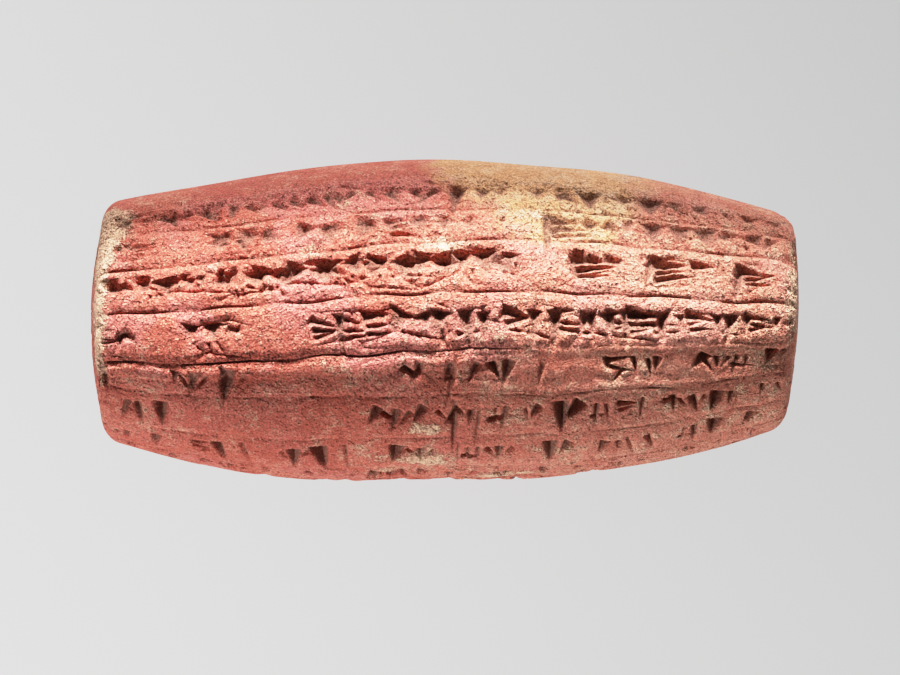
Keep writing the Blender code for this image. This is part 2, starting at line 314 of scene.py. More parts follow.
def fade(tree, value, low, high, start=0.0, end=1.0):
    # from start at low to end at high, smoothly, and level beyond
    inputs = {"Value": value, "From Min": low, "From Max": high, "To Min": start, "To Max": end}
    return field(tree, "ShaderNodeMapRange", inputs, interpolation_type="SMOOTHSTEP")


def unit(tree, value):
    return calc(tree, "MAXIMUM", calc(tree, "MINIMUM", value, 1.0), 0.0)


def noise(tree, position, size, detail=2.0, roughness=0.5, shift=(0.0, 0.0, 0.0)):
    # from 0 to 1, with features about as large as size
    moved = vectorCalc(tree, "ADD", position, shift)
    inputs = {"Vector": moved, "Scale": 1.0 / size, "Detail": detail, "Roughness": roughness}
    return field(tree, "ShaderNodeTexNoise", inputs)


def drifting(tree, position, size):
    # a vector that strays by up to about a half each way, and turns within about size
    inputs = {"Vector": position, "Scale": 1.0 / size, "Detail": 2.0}
    return vectorCalc(tree, "SUBTRACT", field(tree, "ShaderNodeTexNoise", inputs, "Color"), (0.5, 0.5, 0.5))


def fromCrack(tree, position, size):
    # how far a place lies from the cracks of a crazed pattern, as a share of size
    inputs = {"Vector": position, "Scale": 1.0 / size}
    return field(tree, "ShaderNodeTexVoronoi", inputs, "Distance", feature="DISTANCE_TO_EDGE")


# where strokes and lines go

def lineAngle(line, x):
    # degrees round the barrel; line 20 is line 0, one turn on
    along = 2 * x / barrel["Length"]
    number = line % rows["count"]
    if number in rows["stray"]:
        left, middle, right = rows["stray"][number]
        stray = middle + along * (right - left) / 2 + along**2 * ((right + left) / 2 - middle)
    else:
        stray = rows["otherStray"] * math.sin(1.7 * number + 2.2 * along)
    return rows["firstLine"] - 360.0 / rows["count"] * line + stray


def handWaves():
    # the pitch and phase of the waves that a hand makes as it rules each line
    dice = random.Random(press["seed"] + 2)

    def wave():
        return dice.uniform(6, 30) * mm, dice.uniform(0, 6.3)

    return [[wave() for _ in range(4)] for _ in range(rows["count"])]


waves = handWaves()


def ruledAngle(line, x):
    # the line as the hand ruled it, in radians
    sway = sum(math.sin(2 * math.pi * x / pitch + phase) for pitch, phase in waves[line % rows["count"]]) / 2
    return math.radians(lineAngle(line, x) + rows["wobble"] * sway)


def leftToRight(ends, x):
    left, right = ends
    return left + (right - left) * (x / barrel["Length"] + 0.5)


def shoulderAt(x):
    # 1 along the left part, and nothing at the right end
    start, end = rows["shoulderEnd"]
    share = min(1.0, max(0.0, (end - x) / (end - start)))
    return share * share * (3 - 2 * share)


def angleInRow(row, share, x):
    above = lineAngle(row, x)
    below = lineAngle(row + 1, x)
    return above + (below - above) * share


def hiddenPlans():
    # groups of strokes with gaps between them, at every other place
    dice = random.Random(hidden["seed"])
    made = []
    for _ in range(hidden["rows"]):
        plan = ""
        while len(plan) < hidden["places"]:
            plan += "".join(dice.choice(hidden["letters"]) for _ in range(dice.randint(2, 5)))
            plan += "." * dice.randint(1, 4)
        made.append("".join(letter + "." for letter in plan[:hidden["places"]]))
    return made


def letterPlaces():
    places = len(plans[0])
    pitch = (barrel["Length"] - 2 * rows["margin"]) / places
    for row, plan in enumerate((*plans, *hiddenPlans())):
        for number, letter in enumerate(plan):
            x = -barrel["Length"] / 2 + rows["margin"] + pitch * (number + 0.5)
            middle = math.cos(math.radians(angleInRow(row, 0.5, x)))
            underneath = middle < -math.cos(math.radians(360.0 / rows["count"]))
            onFlat = underneath and abs(x) < rows["bareLength"] / 2
            if letter != "." and not onFlat:
                yield letter, row, x


def addObject(name, data):
    made = bpy.data.objects.new(name, data)
    bpy.context.scene.collection.objects.link(made)
    return made


def addMesh(name, points, edges, faces, values=None):
    # values holds a list of numbers, one for each point, for each attribute
    mesh = bpy.data.meshes.new(name)
    mesh.from_pydata(points, edges, faces)
    for label, numbers in (values or {}).items():
        mesh.attributes.new(label, "FLOAT", "POINT").data.foreach_set("value", numbers)
    return addObject(name, mesh)


# three drawings on the unrolled barrel: x runs along it, y round it in radians, and z above the wall


def addWedge(points, faces, x, angle, stroke, size, turnBy, sunk):
    # a stylus tip: its deepest point under the head, and three corners carried on above the wall; it has its
    # full size at the depth that it is sunk to, and size scales its length, width and depth
    length, width, depth = (share * value for share, value in zip(size, strokes[stroke]))
    turn = math.radians(strokes[stroke][3] + turnBy)
    start = -length * press["deepestShare"]
    reach = (depth + sunk + press["lift"]) / depth
    first = len(points)
    points.append((x, angle, -depth - sunk))
    for along, across in ((start, -width / 2), (start, width / 2), (start + length, 0.0)):
        dx = (along * math.cos(turn) - across * math.sin(turn)) * reach
        dy = (along * math.sin(turn) + across * math.cos(turn)) * reach
        points.append((x + dx, angle - dy / barrel["Belly Radius"], press["lift"]))
    faces.append((first + 1, first + 2, first + 3))
    faces.extend([(first, first + 1 + i, first + 1 + (i + 1) % 3) for i in range(3)])


def makeStylusMarks():
    points = []
    faces = []
    dice = random.Random(press["seed"])
    for letter, row, x in letterPlaces():
        x += dice.uniform(-press["jitter"], press["jitter"])
        share = shareDown.get(letter, otherShareDown) + rows["lower"].get(row, 0.0)
        angle = math.radians(angleInRow(row, share, x))
        alone = ((letter, 0.0, 0.0, 1.0, 0.0, 0.0),)
        for stroke, along, down, size, turnBy, sunk in groups.get(letter, alone):
            size *= 1 + dice.uniform(-press["spread"], press["spread"])
            size *= leftToRight(rows["heavier"].get(row, rows["otherHeavier"]), x)
            size = [size * share for share in rows["pressure"].get(row, rows["otherPressure"])]
            turnBy += dice.uniform(-press["turn"], press["turn"])
            at = x + along * mm
            there = angle - down * mm / barrel["Belly Radius"]
            addWedge(points, faces, at, there, stroke, size, turnBy, sunk * mm)
    print("strokes drawn:", len(faces) // 4)
    return addMesh("stylusMarks", points, [], faces)


def stepsAlong():
    steps = int(barrel["Length"] / rows["step"])
    return [-barrel["Length"] / 2 + barrel["Length"] * i / steps for i in range(steps + 1)]


def makeRuledLines():
    points = []
    edges = []
    cut = []
    least, usual, swing = rows["linePress"]
    for line in range(rows["count"]):
        depth = rows["faintDepth"] if line in rows["faintLines"] else rows["lineDepth"]
        depth = 0.0 if line in rows["wornLines"] else depth
        pitch = waves[line][0][0] * 1.6
        phase = waves[line][1][1]
        for x in stepsAlong():
            if x > -barrel["Length"] / 2:
                edges.append((len(points) - 1, len(points)))
            points.append((x, ruledAngle(line, x), 0.0))
            weight = max(least, usual + swing * math.sin(2 * math.pi * x / pitch + phase))
            if line == rows["shoulderLine"]:
                weight *= 0.2 + 0.8 * shoulderAt(x)
            cut.append(depth * weight)
    return addMesh("ruledLines", points, edges, [], {"cut": cut})


def crowding():
    # for each row, a function of x that runs from 0, bare, to 1, crowded with strokes
    strokesIn = [[] for _ in range(rows["count"])]
    for letter, row, x in letterPlaces():
        strokesIn[row].append((x, rows["crowdWeight"].get(letter, rows["otherCrowdWeight"])))

    def crowdAt(row, x):
        reach = rows["crowdReach"]
        return min(1.0, sum(weight * math.exp(-(((x - at) / reach) ** 2)) for at, weight in strokesIn[row]))

    return crowdAt


def makeRowStrips():
    # a strip for each row, from the line over it to the line under it; drop and climb are measured from them
    points = []
    faces = []
    values = {name: [] for name in ("drop", "climb", "swell", "shoulder", "sand", "trough", "crowd")}
    crowdAt = crowding()
    for row in range(rows["count"]):
        troughEnds = rows["trough"].get(row, rows["otherTrough"])
        if rows["smoothFrom"] <= row <= rows["smoothTo"]:
            troughEnds = (0.0, 0.0)
        for x in stepsAlong():
            height = (ruledAngle(row, x) - ruledAngle(row + 1, x)) * barrel["Belly Radius"]
            swell = rows["swell"] if row in rows["swollen"] else rows["smoothSwell"]
            shoulder = 0.0
            if row == rows["shoulderLine"]:
                swell = swell * shoulderAt(x) - rows["sunk"] * (1 - shoulderAt(x))
                shoulder = rows["shoulder"] * shoulderAt(x)
            sand = rows["sandiness"].get(row, rows["otherSandiness"])
            crowd = crowdAt(row, x)
            trough = leftToRight(troughEnds, x) * mm * crowd
            if x > -barrel["Length"] / 2:
                last = len(points) - 1
                faces.append((last - 1, last, last + 2, last + 1))
            for line, drop in ((row, 0.0), (row + 1, height)):
                points.append((x, ruledAngle(line, x), 0.0))
                for name, value in zip(values, (drop, height - drop, swell, shoulder, sand, trough, crowd)):
                    values[name].append(value)
    return addMesh("rowStrips", points, [], faces, values)


# the clay itself

def onBarrel(tree, sizes, x, angle, lift, share=1.0, rimmed=False):
    # wraps a flat place on the barrel; share runs from 0 at an end's middle to 1 on the wall
    half = sizes["Length"] / 2.0
    inset = 0.0
    side = x
    if rimmed:
        edge = sizes["Edge Rounding"]
        for sign, dome in ((1.0, sizes["Left Dome"]), (-1.0, sizes["Right Dome"])):
            turn = unit(tree, (side * sign + half - dome) / edge) * (math.pi / 2)
            inset = inset + edge * (1.0 - calc(tree, "SINE", turn))
            x = x + (edge * (1.0 - calc(tree, "COSINE", turn)) - edge * turn / (math.pi / 2)) * sign
    offset = sizes["Belly Offset"]
    radius = sizes["Belly Radius"]
    for sign, end, full in ((-1.0, "Left Radius", "Left Fullness"), (1.0, "Right Radius", "Right Fullness")):
        outwards = unit(tree, (x - offset) * sign / (half - offset * sign))
        radius = radius - (sizes["Belly Radius"] - sizes[end]) * calc(tree, "POWER", outwards, sizes[full])
    along = x / sizes["Length"] * (2 * math.pi)
    dents = calc(tree, "SINE", angle * 2.0 + along * 1.9 + 0.6)
    dents = dents + calc(tree, "SINE", angle * 3.0 - along * 2.7 + 2.1) * 0.7
    dents = dents + calc(tree, "SINE", angle * 5.0 + along * 4.3) * 0.5
    radius = radius + dents * sizes["Dent Depth"] - inset + lift
    swing = calc(tree, "COSINE", (x - offset) / sizes["Wander Pitch"] * (2 * math.pi)) - 1.0
    isLeft = calc(tree, "LESS_THAN", x, offset)
    wander = swing * (sizes["Left Wander"] * isLeft + sizes["Right Wander"] * (1.0 - isLeft))
    y = radius * calc(tree, "SINE", angle)
    z = radius * calc(tree, "COSINE", angle)
    nearEnd = calc(tree, "MAXIMUM", 1.0 - (half - x) / sizes["Lean Reach"], 0.0)
    x = x + sizes["Lean"] * y * share * nearEnd * nearEnd
    if rimmed:
        isLeftEnd = calc(tree, "LESS_THAN", side, 0.0)
        dome = sizes["Right Dome"] * (1.0 - isLeftEnd) - sizes["Left Dome"] * isLeftEnd
        x = x + dome * (1.0 - share * share)
    return vector(tree, x, (y + wander) * share, z * share + sizes["Axis Height"])


def wrapped(tree, sizes, thing):
    # the flat drawing in an object, wrapped on the barrel
    drawing = field(tree, "GeometryNodeObjectInfo", {"Object": thing}, "Geometry")
    x, angle, lift = parts(tree, field(tree, "GeometryNodeInputPosition"))
    return moveTo(tree, drawing, onBarrel(tree, sizes, x, angle, lift))


def moveTo(tree, geometry, place):
    return field(tree, "GeometryNodeSetPosition", {"Geometry": geometry, "Position": place})


def keep(tree, geometry, name, value):
    # stores a value on the mesh; what depends on a place is stored before the mesh moves
    inputs = {"Geometry": geometry, "Name": name, "Value": value}
    return field(tree, "GeometryNodeStoreNamedAttribute", inputs)


def kept(tree, name):
    return field(tree, "GeometryNodeInputNamedAttribute", {"Name": name}, "Attribute", data_type="FLOAT")


def blurred(tree, value, name):
    inputs = {"Value": value, "Iterations": blurs[name]}
    return field(tree, "GeometryNodeBlurAttribute", inputs, data_type="FLOAT")


# the colours, and the sizes of what mixes them
finish = {
    "red": (0.60, 0.150, 0.103, 1.0),
    "deepRed": (0.52, 0.108, 0.072, 1.0),
    "paleRed": (0.68, 0.220, 0.155, 1.0),
    "buff": (0.66, 0.310, 0.140, 1.0),
    "paleBuff": (0.75, 0.41, 0.235, 1.0),
    "crust": (0.80, 0.50, 0.330, 1.0),
    # painted shade for the cracks and the pits
    "crackAndPitShade": (0.16, 0.040, 0.028, 1.0),
    # painted shade for the strokes and the low places
    "hollow": (0.25, 0.115, 0.082, 1.0),
    "pinkRed": (0.63, 0.170, 0.145, 1.0),
    "buffPlace": (16.5 * mm, 71.0, 17.0 * mm, 17.6 * mm),    # x, angle, half length and half height
    "buffWidth": (0.98, 0.25),        # of its half length: in the middle, and more for each half height up
    "buffLean": 1.5 * mm,
    "buffCorners": 2.4,               # 2 is an ellipse, and more is squarer
    "dust": (-20.0 * mm, 42.0 * mm, 0.3),    # from x to x, and how much in the end
    # x in mm, angle in degrees, half length and half height in mm, and strength
    "crustPatches": (
        (-0.2, 27.4, 3.9, 2.0, 0.9),
        (-20.8, 25.7, 2.8, 1.6, 0.8),
        (12.1, 39.9, 6.6, 3.4, 0.5),
        (-53.6, 50.0, 5.4, 7.4, 1.3),
        (-55.2, 24.0, 3.8, 7.0, 1.3),
        (-55.4, -2.0, 3.2, 7.5, 1.2),
        (-54.6, -24.0, 2.2, 5.0, 0.9),
        (55.5, 39.5, 1.6, 4.0, 1.0),
        (55.2, 8.0, 2.4, 8.0, 1.0),
        (36.1, 11.2, 5.0, 1.6, 0.6),
        (46.9, -34.0, 3.8, 1.7, 0.7),
        (41.8, -40.5, 2.8, 1.4, 0.7),
        (19.3, -35.2, 1.9, 1.6, 0.6),
        (-10.3, -57.5, 3.4, 1.8, 0.6),
        (-3.1, -41.6, 5.0, 1.7, 0.9),
        (-2.8, -58.5, 5.3, 3.6, 0.9),
        (13.7, -53.4, 2.7, 2.0, 0.6),
        (9.7, -76.0, 9.0, 3.0, 0.8),
        (-29.6, -39.0, 1.0, 1.2, 0.8),
    ),
    "broadSize": 9.0 * mm,
    "middlingSize": 2.4 * mm,
    "fineSize": 0.7 * mm,
    "grittySize": 0.3 * mm,
    "pinkSize": 13.0 * mm,
    "raggedSize": 20.0 * mm,          # of the bays in the edge of the buff
    "scratchSize": 0.45 * mm,
    "stirSize": 0.8 * mm,             # how far the cracks wander
    "crackSize": 0.75 * mm,           # about how long a crack runs on
    "flakeSize": 1.15 * mm,
    "granuleSize": 0.85 * mm,
    "grainSize": 0.38 * mm,
    "pitSize": 0.65 * mm,
    "roughness": 0.9,
    "specular": 0.25,
}

# how much of each colour is mixed in where it is strongest
amounts = {
    "paleRed": 0.6,
    "pinkRed": 0.8,
    "crust": 0.75,
    "crustPatches": 0.85,
    "scratches": 0.5,
    "smears": 0.45,
    "flakes": 0.6,
    # how much painted shade goes into the strokes and the low places
    "hollows": 0.8,
}


def wallRadius(x):
    side, end, full = (-1, "Left Radius", "Left Fullness") if x < 0 else (1, "Right Radius", "Right Fullness")
    outwards = min(1.0, max(0.0, (x - barrel["Belly Offset"]) * side / (barrel["Length"] / 2)))
    return barrel["Belly Radius"] - (barrel["Belly Radius"] - barrel[end]) * outwards ** barrel[full]


def patch(tree, px, py, pz, place):
    # full strength in the middle, and nothing a quarter beyond its edge
    middle, angle, halfLength, halfHeight, strength = place
    radius = wallRadius(middle * mm)
    dx = (px - middle * mm) / (halfLength * mm)
    dy = (py - radius * math.sin(math.radians(angle))) / (halfHeight * mm)
    dz = (pz - radius * math.cos(math.radians(angle)) - barrel["Axis Height"]) / (halfHeight * mm)
    return fade(tree, calc(tree, "SQRT", dx * dx + dy * dy + dz * dz), 0.35, 1.25, strength, 0.0)


def makeClayTree(material):
    tree = bpy.data.node_groups.new("pressedClay", "GeometryNodeTree")
    tree.interface.new_socket(name="Geometry", in_out="OUTPUT", socket_type="NodeSocketGeometry")
    entry = addNode(tree, "NodeGroupInput")
    sizes = {}
    for name, value in {**barrel, **relief, **fineness}.items():
        kind = "NodeSocketInt" if isinstance(value, int) else "NodeSocketFloat"
        socket = tree.interface.new_socket(name=name, in_out="INPUT", socket_type=kind)
        socket.default_value = value
        sizes[name] = Field(tree, entry.outputs[name])
    for name in ("Stylus Marks", "Ruled Lines", "Row Strips"):
        tree.interface.new_socket(name=name, in_out="INPUT", socket_type="NodeSocketObject")
        sizes[name] = Field(tree, entry.outputs[name])

    # a plain cylinder along z, turned and swollen into the barrel
    cylinder = {
        "Vertices": sizes["Segments"],
        "Side Segments": sizes["Rings"],
        "Fill Segments": sizes["End Rings"],
        "Radius": plainRadius,
        "Depth": sizes["Length"] - sizes["Left Dome"] - sizes["Right Dome"],
    }
    plain = field(tree, "GeometryNodeMeshCylinder", cylinder, "Mesh", fill_type="TRIANGLE_FAN")
    px, py, pz = parts(tree, field(tree, "GeometryNodeInputPosition"))
    share = unit(tree, calc(tree, "SQRT", px * px + py * py) / plainRadius)
    angle = calc(tree, "ARCTAN2", -py, px)
    angle = angle - calc(tree, "SINE", angle) * sizes["Gather"]
    x = pz + (sizes["Left Dome"] - sizes["Right Dome"]) / 2.0
    place = onBarrel(tree, sizes, x, angle, 0.0, share, rimmed=True)
    clay = keep(tree, plain, "wall", fade(tree, share, 0.97, 1.0))
    clay = moveTo(tree, clay, place)
    wall = kept(tree, "wall")
    position = field(tree, "GeometryNodeInputPosition")
    normal = field(tree, "GeometryNodeInputNormal")

    # ruled lines
    lines = wrapped(tree, sizes, sizes["Ruled Lines"])
    near = addNode(tree, "GeometryNodeProximity", {"Source Position": position}, target_element="EDGES")
    wire(tree, near.inputs[0], lines)
    away = out(tree, near, "Distance")
    index = field(tree, "GeometryNodeSampleNearest", {"Geometry": lines})
    sample = {"Geometry": lines, "Value": kept(tree, "cut"), "Index": index}
    cut = field(tree, "GeometryNodeSampleIndex", sample)
    clay = keep(tree, clay, "groove", unit(tree, 1.0 - away / sizes["Ruling Width"]) * cut * wall)
    clay = keep(tree, clay, "clear", fade(tree, away, sizes["Clear From"], sizes["Clear To"]))

    # the rows that swell between them, each pressed down in a trough where its strokes crowd
    strips = wrapped(tree, sizes, sizes["Row Strips"])

    def ofRow(name):
        return field(tree, "GeometryNodeSampleNearestSurface", {"Mesh": strips, "Value": kept(tree, name)})

    for name in ("drop", "climb", "crowd", "trough"):
        clay = keep(tree, clay, name, ofRow(name))
    drop = kept(tree, "drop")
    climb = kept(tree, "climb")
    rise = fade(tree, climb, 0.0, sizes["Rise Above Line"]) * fade(tree, drop, 0.0, sizes["Rise Below Line"])
    fromShoulder = calc(tree, "ABSOLUTE", (drop - sizes["Shoulder Middle"]) / sizes["Shoulder Reach"])
    rise = rise * ofRow("swell") + fade(tree, fromShoulder, 0.0, 1.0, 1.0, 0.0) * ofRow("shoulder")
    upright = vectorCalc(tree, "MULTIPLY", position, (1.0, 0.35, 0.35))
    columns = noise(tree, upright, sizes["Trough Pitch"], 1.5, 0.5)
    jagged = drop + (columns - 0.5) * 2.0 * sizes["Trough Jag"]
    floorEnd = sizes["Trough Top"] + sizes["Trough Wall"] + sizes["Trough Floor"]
    trough = fade(tree, jagged, sizes["Trough Top"], sizes["Trough Top"] + sizes["Trough Wall"])
    trough = trough * fade(tree, drop, floorEnd, floorEnd + sizes["Trough Rise"], 1.0, 0.0)
    trough = trough * kept(tree, "trough") * fade(tree, columns, 0.45, 0.58, 0.05, 1.0)
    clay = keep(tree, clay, "rise", blurred(tree, (rise - trough) * wall, "rise"))
    overShoulder = fade(tree, drop, sizes["Shoulder Middle"], sizes["Rise Below Line"], 1.0, 0.0)
    isShoulder = calc(tree, "GREATER_THAN", ofRow("shoulder"), 0.0)
    sand = calc(tree, "MAXIMUM", ofRow("sand"), overShoulder * isShoulder)
    clay = keep(tree, clay, "sandy", blurred(tree, sand, "sandy"))
    sandy = kept(tree, "sandy")

    # strokes: a ray from under the wall finds the lowest stylus face over it
    marks = wrapped(tree, sizes, sizes["Stylus Marks"])
    reach = sizes["Press Reach"]
    drift = scaled(tree, drifting(tree, position, sizes["Stray Size"]), sizes["Stray"] * 2.0 * sandy)
    under = vectorCalc(tree, "SUBTRACT", position, scaled(tree, normal, reach))
    start = vectorCalc(tree, "ADD", under, drift)
    shot = {"Target Geometry": marks, "Source Position": start, "Ray Direction": normal, "Ray Length": reach}
    ray = addNode(tree, "GeometryNodeRaycast", shot)
    pressed = (reach - out(tree, ray, "Hit Distance")) * out(tree, ray, "Is Hit")
    clay = keep(tree, clay, "pressed", pressed)
    clay = keep(tree, clay, "stroke", blurred(tree, kept(tree, "pressed"), "stroke"))
    stroke = kept(tree, "stroke")

    # clay that the strokes pushed aside, and the worn lumps
    clay = keep(tree, clay, "near", blurred(tree, stroke, "near"))
    clay = keep(tree, clay, "around", blurred(tree, stroke, "around"))
    lipHeight = sizes["Crisp Lip Height"] + (sizes["Lip Height"] - sizes["Crisp Lip Height"]) * sandy
    lip = kept(tree, "near") * lipHeight * fade(tree, stroke, 0.0, sizes["Lip Edge"], 1.0, 0.0)
    stretched = vectorCalc(tree, "MULTIPLY", position, (0.62, 1.0, 1.0))
    billow = calc(tree, "ABSOLUTE", noise(tree, stretched, sizes["Pillow Size"], 1.0) * 2.0 - 1.0) * 2.4 - 0.7
    crumbs = noise(tree, position, sizes["Crumb Size"], 1.0, 0.6) * 2.0 - 1.0
    lump = 0.0
    for stretch, size, weight in ((0.5, sizes["Lump Size"], 1.0), (0.7, sizes["Lump Size"] * 0.5, 0.18)):
        bent = vectorCalc(tree, "ADD", vectorCalc(tree, "MULTIPLY", position, (stretch, 1.0, 1.0)), drift)
        fromTop = 1.0 - calc(tree, "MINIMUM", fromCrack(tree, bent, size) / sizes["Lump Edge"], 1.0)
        lump = lump + (calc(tree, "SQRT", 1.0 - fromTop * fromTop) - 0.85) * weight
    lump = lump * sizes["Lump Height"] * sandy * kept(tree, "crowd") * kept(tree, "clear") * wall
    lump = lump * fade(tree, drop, sizes["Lumps From"], sizes["Lumps To"], 0.35, 1.0)
    lumps = billow * sizes["Pillow Height"] + crumbs * sizes["Crumb Height"]
    height = kept(tree, "rise") - kept(tree, "groove") - stroke + lip - kept(tree, "around") * sizes["Sink"]
    height = height + lumps * sandy * wall * (0.45 + kept(tree, "clear") * 0.55) + lump
    facingUp = unit(tree, parts(tree, normal)[2])
    highest = sizes["Highest"] + sizes["Highest On Top"] * facingUp
    height = calc(tree, "SMOOTH_MIN", height, highest, sizes["Highest Softness"]) * fade(tree, wall, 0.0, 0.2)
    height = height - calc(tree, "ABSOLUTE", lumps) * (1.0 - wall) * 0.5

    # chips out of both ends' edges, and wear along the lower side
    px, py, pz = parts(tree, position)
    toEnd = sizes["Length"] / 2.0 - calc(tree, "ABSOLUTE", px)
    nearEnd = fade(tree, toEnd, sizes["Chip Reach"] * 0.3, sizes["Chip Reach"], 1.0, 0.0)
    chips = fade(tree, noise(tree, position, sizes["Chip Size"], 3.0, 0.55), 0.52, 0.66)
    chips = chips * nearEnd * (0.25 + wall * 0.75)
    lowSide = fade(tree, -py, sizes["Wear From"], sizes["Wear From"] + sizes["Wear Reach"])
    patchy = noise(tree, position, sizes["Wear Size"], shift=(0.2, 0.0, 0.1))
    worn = fade(tree, patchy, 0.45, 0.65) * lowSide
    height = height - chips * sizes["Chip Depth"] - worn * wall * sizes["Wear Depth"] - sizes["Inside"]
    clay = keep(tree, clay, "height", height)
    moved = vectorCalc(tree, "ADD", position, scaled(tree, normal, kept(tree, "height")))
    mx, my, mz = parts(tree, moved)
    clay = moveTo(tree, clay, vector(tree, mx, my, calc(tree, "MAXIMUM", mz, 0.0)))

    # what the colours read: the buff stretch, the pale patches, how deep a place is pressed, and how far it
    # stands above its surroundings
    arc = calc(tree, "ARCTAN2", py, pz - sizes["Axis Height"]) * sizes["Belly Radius"]
    middle, angle, halfLength, halfHeight = finish["buffPlace"]
    width, widening = finish["buffWidth"]
    up = (arc - math.radians(angle) * barrel["Belly Radius"]) / halfHeight
    halfWidth = halfLength * (width + up * widening)
    dx = calc(tree, "ABSOLUTE", (px - middle + up * finish["buffLean"]) / halfWidth)
    dy = calc(tree, "ABSOLUTE", up)
    corners = finish["buffCorners"]
    fromBuff = calc(tree, "POWER", dx, corners) + calc(tree, "POWER", dy, corners)
    clay = keep(tree, clay, "fromBuff", calc(tree, "POWER", fromBuff, 1.0 / corners))
    marked = 0.0
    for one in finish["crustPatches"]:
        marked = marked + patch(tree, px, py, pz, one)
    clay = keep(tree, clay, "marked", marked)
    pressed = unit(tree, (stroke + kept(tree, "groove") * 2.0) / sizes["Full Press"])
    clay = keep(tree, clay, "pressed", pressed)
    standing = kept(tree, "height") - blurred(tree, kept(tree, "height"), "height")
    clay = keep(tree, clay, "standing", standing / sizes["Full Stand"])
    clay = field(tree, "GeometryNodeRealizeInstances", {"Geometry": clay})
    clay = field(tree, "GeometryNodeSetMaterial", {"Geometry": clay, "Material": material})
    addNode(tree, "NodeGroupOutput", {"Geometry": clay})
    return tree


def settled(thing):
    # the evaluated shape as a plain mesh, with no modifier left
    graph = bpy.context.evaluated_depsgraph_get()
    shape = thing.evaluated_get(graph)
    mesh = bpy.data.meshes.new_from_object(shape, preserve_all_data_layers=True, depsgraph=graph)
    thing.modifiers.clear()
    thing.data = mesh
    return thing


def makeClay(material):
    drawings = {
        "Stylus Marks": makeStylusMarks(),
        "Ruled Lines": makeRuledLines(),
        "Row Strips": makeRowStrips(),
    }
    made = addMesh("pressedClayBarrel", [], [], [])
    modifier = made.modifiers.new("pressedClay", "NODES")
    modifier.node_group = makeClayTree(material)
    items = modifier.node_group.interface.items_tree
    inputs = {item.name: item.identifier for item in items if item.in_out == "INPUT"}
    for name, drawing in drawings.items():
        modifier[inputs[name]] = drawing
    settled(made)
    print("clay pressed:", len(made.data.polygons), "faces")
    made.data.calc_loop_triangles()
    thin = made.modifiers.new("thin", "DECIMATE")
    thin.ratio = trianglesKept / len(made.data.loop_triangles)
    settled(made)
    made.data.calc_loop_triangles()
    print("clay thinned:", len(made.data.loop_triangles), "triangles")
    made.data.shade_smooth()
    for name in "stroke rise groove clear drop climb crowd trough near around height wall".split():
        made.data.attributes.remove(made.data.attributes[name])
    for drawing in drawings.values():
        bpy.data.objects.remove(drawing)
    return made


def mixed(tree, share, first, second, blend="MIX"):
    made = tree.nodes.new("ShaderNodeMix")
    made.data_type = "RGBA"
    made.blend_type = blend
    wire(tree, made.inputs[0], share)
    wire(tree, made.inputs[6], first)
    wire(tree, made.inputs[7], second)
    return out(tree, made, 2)


def specks(tree, place, size, amount, reach):
    # round spots in a share of the cells of an even pattern; reach is a spot's size in its cell
    cells = addNode(tree, "ShaderNodeTexVoronoi", {"Vector": place, "Scale": 1.0 / size})
    chance = parts(tree, out(tree, cells, "Color"))[0]
    chosen = calc(tree, "LESS_THAN", chance, amount)
    return fade(tree, out(tree, cells, "Distance"), reach * 0.5, reach, 1.0, 0.0) * chosen


def fromMesh(tree, name):
    return field(tree, "ShaderNodeAttribute", output="Fac", attribute_name=name)


